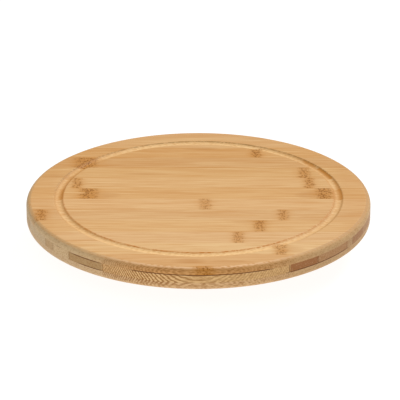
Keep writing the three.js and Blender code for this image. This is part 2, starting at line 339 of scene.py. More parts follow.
RIM = BOARD_RADIUS / MM
STRIP_WIDTH = 23.2
STRIP_START = -5.8

# Colours of the top strips from the front of the board to the back: each strip's own tone with painted
# light in it, so the middle front strips read lighter than those at the back.
FIRST_TOP_STRIP = -7
TOP_STRIPS = [
    (213, 162, 104), (216, 166, 110), (228, 186, 131), (224, 179, 126), (223, 176, 118), (219, 172, 117),
    (225, 178, 122), (221, 171, 110), (224, 177, 119), (219, 170, 109), (212, 160, 100), (215, 161, 97),
    (220, 171, 113), (218, 168, 111),
]

# Brown node marks: place along the grain, strip, half width and strength.
TOP_MARKS = [
    (52, 4, 5.0, 0.9), (-101, 3, 10.5, 1.0), (-107, 1, 4.5, 0.9), (-96, 0, 8.0, 1.0), (94, 2, 5.5, 0.85),
    (98, 1, 4.5, 0.9), (110, 0, 7.5, 1.0), (6, -1, 5.5, 0.6), (73, -2, 4.8, 0.75), (-135, -2, 5.0, 0.85),
    (52, -3, 5.5, 0.8), (34, -4, 5.0, 0.65), (69, -5, 5.5, 0.75), (5, -7, 8.0, 0.9),
]

# Long soft stains: place along and across the grain, half length, half width and strength.
TOP_STAINS = [
    (2, 108, 20, 5, 0.35), (-124, 44, 22, 5, 0.3), (-48, 49, 26, 4, 0.25),
    (-8, -135, 18, 6, 0.4), (26, -136, 20, 4, 0.25), (78, -112, 14, 8, 0.25),
    (-84, 2, 20, 9, 0.35), (97, 3, 16, 10, 0.35), (44, -55, 24, 3, 0.3),
]

# Stains that only the cut of the groove lays bare, partly painted shade, most of all those at the left
# end: place along the grain, strip, half width and strength.
GROOVE_STAINS = [
    (114, 2, 14, 1.0), (99, 3, 6, 0.8), (124, 1, 5, 0.5), (126, 0, 9, 0.9), (-102, 3, 9, 0.8),
    (-110, 2, 12, 0.5), (-118, 1, 9, 0.6), (-122, 0, 9, 0.9),
]

# The groove's two lips, each a dark line that is partly ragged fibres and partly painted shade where its
# side faces away from the light: place in half widths, colour, then strength at the front, the back and
# the sides.
GROOVE_LIPS = [(-0.98, (196, 114, 24), 0.85, 0.12, 0.5), (0.98, (150, 106, 44), 0.1, 0.6, 1.0)]

MARK_BROWN = linear(146, 88, 12)
MARK_ORANGE = linear(200, 131, 44)
STAIN_BROWN = linear(180, 114, 44)
GROOVE_STAIN_AND_SHADE = linear(196, 126, 40)
FIBRE_ORANGE = linear(200, 138, 70)
FIBRE_PALE = linear(240, 204, 148)
FLECK_BROWN = linear(156, 100, 42)
JOINT_BROWN = linear(110, 66, 30)
RIPPLE_BROWN = linear(152, 96, 38)
WALL_SHADE_BROWN = linear(190, 136, 68)
GROOVE_PALE_AND_LIGHT = linear(246, 205, 146)
CORE_PALE = linear(222, 186, 138)
PLAIN_BAMBOO = linear(212, 166, 114)

# How far the grain of one strip may be shifted from the next one's, and how rough its noise is.
GRAIN_SHIFT = 400
GRAIN_ROUGHNESS = 0.62

# How far the node marks wander along the grain, and how far their dots curl.
MARK_SWAY = 16
MARK_CURL = 4

# The chevrons' spacing, their slant for each millimetre up or down, and their waver.
RIPPLE_SPACING = 0.85
RIPPLE_SLANT = -0.24
RIPPLE_WAVER = 0.7

# The length over which a dark line between two plies fades out at its ends.
SEAM_FADE = 9

# Where the top starts to turn warmer towards the strips' ends, and where it is warmest.
WARM_ENDS = (116, 132)

# How deep the marks in each surface are, in metres.
WOOD_RELIEF = 0.06 * MM
ZINC_RELIEF = 0.02 * MM
RUBBER_RELIEF = 0.08 * MM


def strip_number(tree, y, width, start):
    return tree.math("FLOOR", tree.math("DIVIDE", tree.math("SUBTRACT", y, start), width))


def axis_distance(tree, x, y):
    """How far a point is from the board's axis."""
    return tree.math("SQRT", tree.math("MULTIPLY_ADD", x, x, tree.times(y, y)))


def joint_distance(tree, y, width, start):
    """How far a point is from the nearest joint between two strips."""
    return tree.math("PINGPONG", tree.math("SUBTRACT", y, start), width / 2)


def grain(tree, x, y, z, strip, lengthwise, across, detail):
    """Noise stretched along the fibres, different in each strip."""
    offset = tree.times(tree.chance(strip), GRAIN_SHIFT)
    along = tree.times(tree.math("ADD", x, offset), lengthwise)
    aside = tree.times(tree.math("ADD", y, offset), across)
    place = tree.combine(along, aside, tree.times(z, across))
    return tree.noise(place, 1, detail, GRAIN_ROUGHNESS)


def fibre_bundles(tree, x, y, z):
    """Dark dots where fibre bundles are cut across, dashes where they are cut lengthwise."""
    place = tree.stretch(x, y, z, 0.3)
    return tree.ramp(tree.cells(place, 0.75, 0.9), 0.22, 0.5, 1, 0)


def strip_surface(tree, x, y, z, strip, joint, colour):
    """Adds fibres, streaks and joints to the strips' plain colours, and returns the fibres too."""
    broad = grain(tree, x, y, z, strip, 0.007, 0.12, 2)
    fibres = grain(tree, x, y, z, strip, 0.02, 0.95, 5)
    streaks = grain(tree, x, y, z, tree.math("ADD", strip, 0.37), 0.013, 0.5, 3)
    colour = tree.mix(tree.ramp(broad, 0.5, 0.74, 0, 0.3), colour, FIBRE_ORANGE)
    colour = tree.mix(tree.ramp(broad, 0.26, 0.46, 0.22, 0), colour, FIBRE_PALE)
    colour = tree.mix(tree.ramp(fibres, 0.48, 0.66, 0, 0.55), colour, FIBRE_ORANGE)
    colour = tree.mix(tree.ramp(fibres, 0.34, 0.5, 0.5, 0), colour, FIBRE_PALE)
    colour = tree.mix(tree.ramp(streaks, 0.6, 0.7, 0, 0.45), colour, MARK_ORANGE)
    joint_share = tree.times(tree.ramp(joint, 0.3, 1.1, 0.6, 0), tree.ramp(broad, 0.44, 0.62))
    return tree.mix(joint_share, colour, MARK_ORANGE), fibres


def node_bands(tree, x, strip, marks, core, reach):
    """How strongly each point lies in one of the bands where a culm had a node.

    A band is full up to core half widths from its middle and fades out at reach half widths.
    """
    total = 0.0
    for place, band, half_width, strength in marks:
        away = tree.gap(x, place)
        share = tree.ramp(away, half_width * core, half_width * reach, strength, 0)
        here = tree.times(share, tree.math("COMPARE", strip, band, 0.5))
        total = tree.math("MAXIMUM", total, here)
    return total


def add_marks(tree, x, y, z, strip, colour, marks):
    """Node marks: a broken crowd of brown dots and curls in a soft orange band across the strip."""
    sway = tree.noise(tree.combine(strip, tree.times(y, 0.22), z), 1, 4, 0.7)
    swayed = tree.math("MULTIPLY_ADD", sway, MARK_SWAY, tree.math("SUBTRACT", x, MARK_SWAY / 2))
    curl = tree.noise(tree.combine(x, y, z), 0.35, 2, 0.5)
    curled = tree.math("MULTIPLY_ADD", curl, MARK_CURL, x)
    dots = tree.cells(tree.combine(curled, tree.times(y, 0.45), z), 0.72, 1)
    crowd = tree.ramp(dots, 0.25, 0.62, 1, 0.12)
    band = node_bands(tree, swayed, strip, marks, 0.25, 1.3)
    halo = node_bands(tree, x, strip, marks, 0.5, 2.4)
    smoke = tree.ramp(grain(tree, x, y, z, strip, 0.05, 0.35, 3), 0.34, 0.66)
    haze = tree.times(halo, tree.math("MULTIPLY_ADD", smoke, 0.4, 0.1))
    colour = tree.mix(haze, colour, MARK_ORANGE)
    colour = tree.mix(tree.times(band, 0.45), colour, MARK_ORANGE)
    return tree.mix(tree.times(band, tree.times(crowd, 0.9)), colour, MARK_BROWN)


def add_stains(tree, x, y, z, strip, colour, stains):
    """Soft orange stains, drawn out along the fibres."""
    total = 0.0
    for place_x, place_y, half_length, half_width, strength in stains:
        along = tree.math("DIVIDE", tree.math("SUBTRACT", x, place_x), half_length)
        across = tree.math("DIVIDE", tree.math("SUBTRACT", y, place_y), half_width)
        away = tree.math("MULTIPLY_ADD", along, along, tree.times(across, across))
        total = tree.math("MAXIMUM", total, tree.ramp(away, 0, 1, strength, 0))
    drawn = tree.ramp(grain(tree, x, y, z, strip, 0.03, 0.4, 3), 0.3, 0.6, 0.35, 1)
    return tree.mix(tree.times(total, drawn), colour, STAIN_BROWN)


def cut_groove(tree, x, y, z, strip, colour):
    """Bare dotted wood in the groove, palest along the fibres partly as painted light, with stains,
    painted shade on its steep sides, and dark lips that are partly ragged fibres and partly painted
    shade.
    """
    radius = axis_distance(tree, x, y)
    outward = tree.math("SUBTRACT", radius, GROOVE_RADIUS / MM)
    half_width = GROOVE_HALF_WIDTH / MM
    inside = tree.ramp(tree.math("ABSOLUTE", outward), half_width - 0.5, half_width, 1, 0)
    across = tree.math("DIVIDE", tree.math("ABSOLUTE", x), radius)
    # Lighter towards the groove's front and back: partly the bare cut along the fibres, partly painted
    # light.
    pale_and_lit = tree.times(inside, tree.ramp(across, 0.35, 0.95, 0.85, 0.3))
    colour = tree.mix(pale_and_lit, colour, GROOVE_PALE_AND_LIGHT)
    # Painted shade: the groove's steep sides are darker, most of all at its left and right ends.
    steep = tree.ramp(tree.math("ABSOLUTE", outward), 1.2, 3.4)
    painted_wall_shade = tree.times(inside, steep, tree.ramp(across, 0.4, 0.9, 0.1, 0.5))
    colour = tree.mix(painted_wall_shade, colour, WALL_SHADE_BROWN)
    dots = tree.times(inside, fibre_bundles(tree, x, y, z))
    colour = tree.mix(tree.times(dots, 0.36), colour, MARK_ORANGE)
    # Stains laid bare by the cut, full only on the sides that face left, away from the light: partly
    # painted shade.
    bands = node_bands(tree, x, strip, GROOVE_STAINS, 0.5, 1.2)
    shaded_side_share = tree.ramp(tree.times(outward, tree.math("SIGN", x)), -1.5, 2.5, 0.12, 1)
    colour = tree.mix(tree.times(inside, bands, shaded_side_share, 0.8), colour, GROOVE_STAIN_AND_SHADE)
    fleck = tree.noise(tree.stretch(x, y, z, 0.3), 0.9, 2, 0.6)
    # Dark lines along the lips: partly ragged fibres, partly painted shade.
    for place, shade, front, back, sides in GROOVE_LIPS:
        away = tree.gap(outward, place * half_width)
        torn_and_shaded = tree.times(tree.ramp(away, 0.3, 1.1, 1, 0), tree.ramp(y, -20, 60, front, back),
                          tree.ramp(across, 0.45, 0.95, 1, sides), tree.ramp(fleck, 0.36, 0.6))
        colour = tree.mix(torn_and_shaded, colour, linear(*shade))
    return colour


def cut_edge(tree, x, y, z, colour, edge, curl, inner_radius=0):
    """Blends to the dotted look of an edge turned across the strips, and to its sanded upper curl.

    edge and curl are each three colours, for the front, the left end and the right end of the strips; the
    right end's are darker as painted shade, and the front curl's light pink is partly a painted
    highlight.
    Nothing inside inner_radius is touched.
    """
    radius = axis_distance(tree, x, y)
    outside = tree.math("GREATER_THAN", radius, inner_radius)
    level = tree.math("ABSOLUTE", tree.facing()[2])
    side = tree.times(outside, tree.ramp(level, 0.6, 0.9, 1, 0))
    sanded = tree.times(tree.ramp(level, 0.66, 0.86), tree.ramp(level, 0.95, 0.9995, 1, 0))
    endwise = tree.ramp(tree.math("DIVIDE", tree.math("ABSOLUTE", x), radius), 0.2, 0.75)
    # Painted shade: towards the right end the edge and curl turn to their darker colours.
    right_end_shade = tree.ramp(x, -40, 40)
    dots = fibre_bundles(tree, x, y, z)
    shades = []
    for front, left, right in (edge, curl):
        end = tree.mix(right_end_shade, linear(*left), linear(*right))
        shades.append(tree.mix(endwise, linear(*front), end))
    dotted = tree.times(dots, tree.ramp(endwise, 0, 1, 0.65, 0.35))
    cut = tree.mix(dotted, shades[0], FLECK_BROWN)
    grime = tree.noise(tree.stretch(x, y, z, 0.03), 0.35, 3, 0.6)
    cut = tree.mix(tree.ramp(grime, 0.45, 0.7, 0, 0.22), cut, FLECK_BROWN)
    specks = tree.times(dots, tree.ramp(endwise, 0, 1, 0.75, 0.45))
    speckled = tree.mix(specks, shades[1], MARK_ORANGE)
    curl_share = tree.times(outside, tree.times(sanded, 0.8))
    colour = tree.mix(curl_share, colour, speckled)
    return tree.mix(side, colour, cut)


def add_ripples(tree, x, y, z, colour, left=0.95, right=0.35):
    """Chevrons of fibre layers along the front edge, bent at the core's underside."""
    away = tree.gap(z, CORE_BOTTOM / MM)
    waver = tree.noise(tree.stretch(x, y, z, 0.3), 0.5, 2, 0.6)
    wavering = tree.math("MULTIPLY_ADD", waver, RIPPLE_WAVER, y)
    phase = tree.math("MULTIPLY_ADD", away, RIPPLE_SLANT, wavering)
    wave = tree.math("SINE", tree.times(phase, 2 * math.pi / RIPPLE_SPACING))
    front_strip = tree.math("LESS_THAN", y, CORE_LEFT[1][0])
    strength = tree.times(front_strip, tree.ramp(x, -60, 40, left, right))
    above_bottom = tree.ramp(z, BOARD_BOTTOM / MM, CORE_BOTTOM / MM + 1, 0.1, 1)
    share = tree.times(tree.ramp(wave, -0.4, 0.7), strength, above_bottom)
    return tree.mix(share, colour, RIPPLE_BROWN)


def seam_line(tree, x, y, z, colour, height, runs, half_height):
    """A dark line where two plies meet: in the given runs along the front and broken at random round the
    back.
    """
    away = tree.gap(z, height)
    line = tree.ramp(away, half_height * 0.6, half_height, 1, 0)
    front = 0.0
    for start, end in runs:
        from_middle = tree.gap(x, (start + end) / 2)
        half_run = (end - start) / 2
        front = tree.math("MAXIMUM", front, tree.ramp(from_middle, half_run - SEAM_FADE, half_run, 1, 0))
    chance = tree.noise(tree.combine(tree.times(x, 0.03), height, 1.3), 1, 3, 0.6)
    broken = tree.ramp(chance, 0.42, 0.58)
    behind = tree.math("GREATER_THAN", y, 0)
    in_front = tree.times(tree.math("SUBTRACT", 1, behind), front)
    run = tree.math("ADD", tree.times(behind, broken), in_front)
    return tree.mix(tree.times(line, run), colour, JOINT_BROWN)


def finish_bamboo(tree, colour, fibres):
    tree.set(Base_Color=colour, Roughness=tree.ramp(fibres, 0.3, 0.7, 0.50, 0.62))
    tree.set(Specular_IOR_Level=0.15)
    tree.bump(fibres, WOOD_RELIEF, 0.5)
    return tree.material


# Colours of the turned edges: at the front, the left end and the right end of the strips. The right end's
# are darker as painted shade, and the front curl's light pink is partly a painted highlight.
TOP_EDGE = [(211, 157, 96), (206, 176, 132), (202, 164, 116)]
TOP_CURL = [(244, 200, 152), (206, 166, 116), (196, 152, 100)]
UNDER_EDGE = [(222, 180, 130), (208, 176, 134), (202, 164, 118)]
UNDER_CURL = [(226, 190, 146), (212, 180, 138), (204, 166, 120)]

# Stretches along the front edge where a dark line between two plies shows, as start and end.
UPPER_SEAMS = [(-60, 66), (-111, -78), (-123, -113)]
LOWER_SEAMS = [(70, 130), (-104, -76)]


def bamboo_top():
    tree = Tree("bamboo_top")
    x, y, z = tree.coordinates()
    strip = strip_number(tree, y, STRIP_WIDTH, STRIP_START)
    joint = joint_distance(tree, y, STRIP_WIDTH, STRIP_START)
    top = BOARD_TOP / MM
    past_groove = (GROOVE_RADIUS + 2 * GROOVE_HALF_WIDTH) / MM
    colour = tree.steps(tree.math("SUBTRACT", strip, FIRST_TOP_STRIP), TOP_STRIPS)
    colour, fibres = strip_surface(tree, x, y, z, strip, joint, colour)
    warm_ends = tree.ramp(tree.math("ABSOLUTE", x), *WARM_ENDS, 0, 0.2)
    colour = tree.mix(warm_ends, colour, FIBRE_ORANGE)
    colour = cut_groove(tree, x, y, z, strip, colour)
    colour = add_stains(tree, x, y, z, strip, colour, TOP_STAINS)
    colour = cut_edge(tree, x, y, z, colour, TOP_EDGE, TOP_CURL, past_groove)
    rippled = add_ripples(tree, x, y, z, colour, 0.5, 0.25)
    colour = tree.mix(tree.ramp(z, top - 2, top - 0.05, 1, 0), colour, rippled)
    colour = add_marks(tree, x, y, z, strip, colour, TOP_MARKS)
    colour = seam_line(tree, x, y, z, colour, CORE_TOP / MM, UPPER_SEAMS, 0.4)
    return finish_bamboo(tree, colour, fibres)


# Core strips at the front, as the place where each starts across the board and its colour.
CORE_LEFT = [
    (-RIM, (234, 192, 134)), (-127, (180, 145, 98)), (-103.5, (210, 180, 136)), (-86, (192, 160, 116)),
    (-76, (204, 178, 138)), (-38, (190, 160, 118)),
]
CORE_RIGHT = [
    (-RIM, (222, 180, 122)), (-129.4, (164, 109, 66)), (-111.7, (184, 138, 94)), (-82, (190, 152, 108)),
    (-73, (170, 124, 84)), (-53, (178, 136, 96)),
]

# The rest of the core, in strips of one width, and the grain that the whole core shares.
CORE_WIDTH = 22
CORE_REST_START = -16
CORE_GRAIN = 3
CORE_REST = [(184, 146, 102), (206, 174, 130), (172, 132, 92), (198, 162, 116)]


def core_strips(front, first):
    """Adds the equal strips behind the front ones, beginning with the given colour."""
    strips = list(front)
    for i in range(math.ceil((RIM - CORE_REST_START) / CORE_WIDTH)):
        colour = CORE_REST[(i + first) % len(CORE_REST)]
        strips.append((CORE_REST_START + i * CORE_WIDTH, colour))
    return strips


def core_joints(tree, y, strips):
    """A thin dark line at each joint between two core strips."""
    total = 0.0
    for start, _ in strips[1:]:
        away = tree.gap(y, start)
        total = tree.math("MAXIMUM", total, tree.ramp(away, 0.15, 0.5, 0.6, 0))
    return total


def core_colour(tree, x, y):
    """The core strips' plain colours with the joints between them, not the same on both sides."""
    right_side = tree.ramp(x, -45, 45)
    sides = []
    for front, first in ((CORE_LEFT, 0), (CORE_RIGHT, 2)):
        strips = core_strips(front, first)
        plain = tree.bands(y, strips, -RIM, RIM)
        sides.append(tree.mix(core_joints(tree, y, strips), plain, JOINT_BROWN))
    return tree.mix(right_side, *sides)


def bamboo_core():
    tree = Tree("bamboo_core")
    x, y, z = tree.coordinates()
    colour = core_colour(tree, x, y)
    fibres = grain(tree, x, y, z, CORE_GRAIN, 0.03, 0.9, 4)
    colour = tree.mix(tree.ramp(fibres, 0.46, 0.66, 0, 0.35), colour, FLECK_BROWN)
    colour = tree.mix(tree.ramp(fibres, 0.3, 0.46, 0.3, 0), colour, CORE_PALE)
    colour = tree.mix(tree.times(fibre_bundles(tree, x, y, z), 0.4), colour, FLECK_BROWN)
    colour = add_ripples(tree, x, y, z, colour)
    colour = seam_line(tree, x, y, z, colour, CORE_TOP / MM, UPPER_SEAMS, 0.6)
    colour = seam_line(tree, x, y, z, colour, CORE_BOTTOM / MM, LOWER_SEAMS, 0.9)
    return finish_bamboo(tree, colour, fibres)


# Strips of the board's underside and of the base: width, place of one joint and lightest colour.
UNDER_STRIPS = (24, 4, (222, 180, 130))
BASE_STRIPS = (21, 6, (216, 170, 116))
UNDER_MARKS = [
    (-60, 2, 4.5, 0.8), (84, 3, 4.0, 0.7), (-20, -4, 4.0, 0.7), (110, -1, 5.0, 0.9), (-118, 0, 4.0, 0.7),
]
BASE_MARKS = [(30, 1, 4.0, 0.8), (-52, -2, 4.5, 0.8), (60, -1, 3.5, 0.6)]


def bamboo_plain(name, width, start, lightest, marks, front_ripples=False):
    """The same bamboo for the pieces under the board, in strips of their own."""
    tree = Tree(name)
    x, y, z = tree.coordinates()
    strip = strip_number(tree, y, width, start)
    joint = joint_distance(tree, y, width, start)
    colour = tree.mix(tree.chance(strip), PLAIN_BAMBOO, linear(*lightest))
    colour, fibres = strip_surface(tree, x, y, z, strip, joint, colour)
    colour = add_marks(tree, x, y, z, strip, colour, marks)
    colour = cut_edge(tree, x, y, z, colour, UNDER_EDGE, UNDER_CURL)
    if front_ripples:
        colour = add_ripples(tree, x, y, z, colour)
    return finish_bamboo(tree, colour, fibres)


# ---- Metal, nylon and rubber ----

def zinc_sheet():
    tree = Tree("zinc_sheet")
    x, y, z = tree.coordinates()
    place = tree.combine(x, y, z)
    spangle = tree.cells(place, 0.16, 1, "Color")
    cloud = tree.noise(place, 0.12, 4, 0.6)
    scratch = tree.noise(tree.stretch(x, y, z, 0.05), 2.4, 3, 0.7)
    grey = tree.mix(0.12, linear(196, 198, 201), spangle, "SOFT_LIGHT")
    colour = tree.mix(tree.ramp(cloud, 0.35, 0.7), grey, linear(172, 174, 176))
    tree.set(Base_Color=colour, Metallic=1.0)
    tree.set(Roughness=tree.ramp(scratch, 0.3, 0.7, 0.28, 0.44))
    tree.bump(scratch, ZINC_RELIEF, 0.4)
    return tree.material


def clouded(name, scale, colour_ramp, light, dark, roughness_ramp, metallic):
    """A surface whose colour and roughness drift together, each by its own ramp of one soft noise."""
    tree = Tree(name)
    cloud = tree.noise(tree.combine(*tree.coordinates()), scale, 3, 0.6)
    colour = tree.mix(tree.ramp(cloud, *colour_ramp), linear(*light), linear(*dark))
    tree.set(Base_Color=colour, Metallic=metallic, Roughness=tree.ramp(cloud, *roughness_ramp))
    return tree.material


def screw_steel():
    light, dark = (190, 190, 188), (158, 158, 156)
    return clouded("screw_steel", 0.9, (0.35, 0.7), light, dark, (0.3, 0.7, 0.3, 0.42), 1.0)


def ball_steel():
    light, dark = (214, 215, 217), (196, 188, 168)
    return clouded("ball_steel", 1.3, (0.45, 0.75), light, dark, (0.4, 0.7, 0.08, 0.22), 1.0)


def cage_nylon():
    light, dark = (232, 228, 214), (216, 209, 190)
    return clouded("cage_nylon", 0.5, (0.3, 0.7), light, dark, (0.3, 0.7, 0.42, 0.58), 0.0)


def foot_rubber():
    tree = Tree("foot_rubber")
    place = tree.combine(*tree.coordinates())
    pores = tree.noise(place, 3.2, 4, 0.7)
    dust = tree.noise(place, 0.35, 3, 0.6)
    colour = tree.mix(tree.ramp(dust, 0.5, 0.8), linear(42, 41, 40), linear(66, 64, 61))
    tree.set(Base_Color=colour, Roughness=tree.ramp(pores, 0.3, 0.7, 0.68, 0.85))
    tree.bump(pores, RUBBER_RELIEF, 0.5)
    return tree.material


# ---- Mesh tools ----

SHARP_ANGLE = math.radians(40)
SMALL_EDGE_STEPS = 3

# How far a cutting volume reaches past the surface that it cuts.
OVERCUT = 1 * MM


def smooth_faces(mesh):
    """Shades a mesh smooth, apart from its sharp edges."""
    for polygon in mesh.polygons:
        polygon.use_smooth = True
    mesh.set_sharp_from_angle(angle=SHARP_ANGLE)


def finish_mesh(name, bm, material):
    """Turns a bmesh into a smooth-shaded object that keeps its sharp edges."""
    bmesh.ops.recalc_face_normals(bm, faces=bm.faces)
    mesh = bpy.data.meshes.new(name)
    bm.to_mesh(mesh)
    bm.free()
    smooth_faces(mesh)
    mesh.materials.append(material)
    return add_object(name, mesh)


def revolve(outline, segments, centre=(0, 0), reach=None):
    """A closed body turned from a (radius, height) outline that ends on the axis or joins up.

    reach, where it is given, moves a radius in or out by the angle, for a rim that isn't round.
    """
    bm = bmesh.new()
    closed = outline[0][0] > 0
    rings = []
    for radius, height in outline:
        if radius == 0:
            rings.append([bm.verts.new((centre[0], centre[1], height))])
            continue
        ring = []
        for i in range(segments):
            angle = 2 * math.pi * i / segments
            far = reach(radius, angle) if reach else radius
            place = (centre[0] + far * math.cos(angle), centre[1] + far * math.sin(angle), height)
            ring.append(bm.verts.new(place))
        rings.append(ring)
    pairs = list(zip(rings, rings[1:]))
    if closed:
        pairs.append((rings[-1], rings[0]))
    for first, second in pairs:
        for i in range(segments):
            j = (i + 1) % segments
            near = [first[i % len(first)], first[j % len(first)]]
            far = [second[j % len(second)], second[i % len(second)]]
            bm.faces.new(list(dict.fromkeys(near + far)))
    return bm


def rounded(corners, steps):
    """An outline from (radius, height, rounding) corners, with an arc at each rounded one."""
    outline = []
    count = len(corners)
    for i, (r, z, rounding) in enumerate(corners):
        here = Vector((r, z))
        before = Vector(corners[i - 1][:2]) - here
        after = Vector(corners[(i + 1) % count][:2]) - here
        if rounding == 0:
            outline.append((r, z))
            continue
        before.normalize()
        after.normalize()
        half = before.angle(after) / 2
        middle = here + (before + after).normalized() * (rounding / math.sin(half))
        start = here + before * (rounding / math.tan(half)) - middle
        end = here + after * (rounding / math.tan(half)) - middle
        sweep = start.angle_signed(end)
        for step in range(steps + 1):
            turn = Matrix.Rotation(-sweep * step / steps, 2)
            point = middle + turn @ start
            outline.append((point.x, point.y))
    return outline


def ring_outline(inner, outer, low, high, rounding):
    """The section of a flat ring with its four edges rounded."""
    corners = [(inner, low), (outer, low), (outer, high), (inner, high)]
    return rounded([(radius, height, rounding) for radius, height in corners], SMALL_EDGE_STEPS)


def drill(centre, radius, low, high, segments):
    """The round volume that a drilled hole takes away."""
    outline = [(0, low), (radius, low), (radius, high), (0, high)]
    return revolve(outline, segments, centre)


def cut(piece, tools):
    """Takes the tools' volume out of a piece, for good."""
    mesh = bpy.data.meshes.new("cutter")
    together = bmesh.new()
    for tool in tools:
        bmesh.ops.recalc_face_normals(tool, faces=tool.faces)
        part = bpy.data.meshes.new("cutter_part")
        tool.to_mesh(part)
        tool.free()
        together.from_mesh(part)
        bpy.data.meshes.remove(part)
    together.to_mesh(mesh)
    together.free()
    cutter = add_object("cutter", mesh)
    modifier = piece.modifiers.new("cut", "BOOLEAN")
    modifier.operation = "DIFFERENCE"
    modifier.solver = "EXACT"
    modifier.object = cutter
    apply_modifiers(piece)
    bpy.data.objects.remove(cutter)
    smooth_faces(piece.data)


def apply_modifiers(piece):
    """Replaces a piece's mesh with what its modifiers make of it."""
    bpy.context.view_layer.update()
    graph = bpy.context.evaluated_depsgraph_get()
    old = piece.data
    piece.data = bpy.data.meshes.new_from_object(piece.evaluated_get(graph))
    piece.modifiers.clear()
    bpy.data.meshes.remove(old)


def corner_places(circle):
    """The four places at 45, 135, 225 and 315 degrees on a circle."""
    angles = [math.radians(45 + 90 * i) for i in range(4)]
    return [(circle * math.cos(angle), circle * math.sin(angle)) for angle in angles]


def put(piece, body, slot, *nodes):
    """Rides a piece on its body and stands it for its CAD nodes, which it hides. slot is not used."""
    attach(piece, body)
    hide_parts(*nodes)


# ---- Board ----

BOARD_SEGMENTS = 256
BOARD_EDGE_STEPS = 10
PILOT_SEGMENTS = 24
GROOVE_STEPS = 30
GROOVE_MARGIN = 0.9 * MM
GROOVE_LIP_SOFTNESS = 0.1 * MM

# Rings across the flat top, so that its faces don't grow too long.
FLAT_RINGS = (105 * MM, 75 * MM, 40 * MM)


def groove_outline():
    """The groove's round section from its outer lip inwards, with soft lips."""
    points = []
    arc = (GROOVE_HALF_WIDTH ** 2 + GROOVE_DEPTH ** 2) / (2 * GROOVE_DEPTH)
    reach = GROOVE_HALF_WIDTH + GROOVE_MARGIN
    for i in range(GROOVE_STEPS + 1):
        away = reach * (1 - 2 * i / GROOVE_STEPS)
        depth = math.sqrt(arc ** 2 - away ** 2) - (arc - GROOVE_DEPTH)
        soft = GROOVE_LIP_SOFTNESS * math.log1p(math.exp(depth / GROOVE_LIP_SOFTNESS))
        points.append((GROOVE_RADIUS + away, BOARD_TOP - soft))
    return points


def make_top_ply(material):
    corners = [(0, CORE_TOP, 0), (BOARD_RADIUS, CORE_TOP, 0), (BOARD_RADIUS, BOARD_TOP, TOP_EDGE_ROUND)]
    rim = rounded(corners + [(0, BOARD_TOP, 0)], BOARD_EDGE_STEPS)[:-1]
    flat = [(radius, BOARD_TOP) for radius in FLAT_RINGS]
    outline = rim + groove_outline() + flat + [(0, BOARD_TOP)]
    piece = finish_mesh("top_ply", revolve(outline, BOARD_SEGMENTS), material)
    put(piece, "turntable", "bamboo", "board_top_ply")


def board_pilot_holes():
    """The holes for the board screws, which start under the upper bearing plate."""
    tip = BOARD_BOTTOM + BOARD_SCREW_LENGTH - SHEET + SCREW_ROOM
    low = BOARD_BOTTOM - OVERCUT
    return [drill(place, PILOT_RADIUS, low, tip, PILOT_SEGMENTS) for place in corner_places(SCREW_CIRCLE)]


def make_core_ply(material):
    outline = [(0, CORE_BOTTOM), (BOARD_RADIUS, CORE_BOTTOM), (BOARD_RADIUS, CORE_TOP), (0, CORE_TOP)]
    piece = finish_mesh("core_ply", revolve(outline, BOARD_SEGMENTS), material)
    cut(piece, board_pilot_holes())
    put(piece, "turntable", "bamboo_core", "board_core_ply")


def make_bottom_ply(material):
    corners = [
        (0, BOARD_BOTTOM, 0), (BOARD_RADIUS, BOARD_BOTTOM, BOTTOM_EDGE_ROUND),
        (BOARD_RADIUS, CORE_BOTTOM, 0), (0, CORE_BOTTOM, 0),
    ]
    outline = rounded(corners, BOARD_EDGE_STEPS)
    piece = finish_mesh("bottom_ply", revolve(outline, BOARD_SEGMENTS), material)
    cut(piece, board_pilot_holes())
    put(piece, "turntable", "bamboo_under", "board_bottom_ply")


# ---- Bearing ----

PLATE_SEGMENTS = 192
HOLE_SEGMENTS = 32
BALL_SEGMENTS = 32
BALL_STEPS = 18
BALL_PLAY = 0.17 * MM
LIP_INNER_RADIUS = 29.8 * MM
LIP_HEIGHT = 2.7 * MM
COLLAR_RADIUS = 28 * MM
COLLAR_FOOT_RADIUS = 31.2 * MM
COLLAR_FOOT_HEIGHT = 1.1 * MM
LIP_FLAT = 0.25 * MM
COLLAR_BEND = 0.9 * MM
CAGE_EDGE_ROUND = 0.2 * MM
CAGE_HOLE_RADIUS = 2.65 * MM

# The race's arc: its radius, then its start and sweep in degrees from straight outwards.
RACE_ARC = BALL_RADIUS + BALL_PLAY + SHEET / 2
RACE_START = -152
RACE_SWEEP = 104
RACE_STEPS = 16

# The sheet's way from the race down to the flange: millimetres out from the race and up.
SHOULDER = [(2.9, 1.95), (3.3, 1.85), (3.9, 0.95)]
FLANGE_BEND = 4.5 * MM

# Where the plate starts to turn square, and how exactly a radius counts as being there.
FLANGE_START = RACE_RADIUS + 5.2 * MM
TINY = 1e-9


def race_line():
    """Middle line of the lower plate, from its inner lip out to the rim, above its underside."""
    lip = [(LIP_INNER_RADIUS, LIP_HEIGHT), (RACE_RADIUS - RACE_ARC - LIP_FLAT, LIP_HEIGHT)]
    arc = []
    for i in range(RACE_STEPS + 1):
        angle = math.radians(RACE_START + RACE_SWEEP * i / RACE_STEPS)
        height = BEARING_HEIGHT / 2 + RACE_ARC * math.sin(angle)
        arc.append((RACE_RADIUS + RACE_ARC * math.cos(angle), height))
    shoulder = [(RACE_RADIUS + out * MM, up * MM) for out, up in SHOULDER]
    flange = [(r, SHEET / 2) for r in (RACE_RADIUS + FLANGE_BEND, FLANGE_START, PLATE_HALF_SIDE)]
    return lip + arc + shoulder + flange


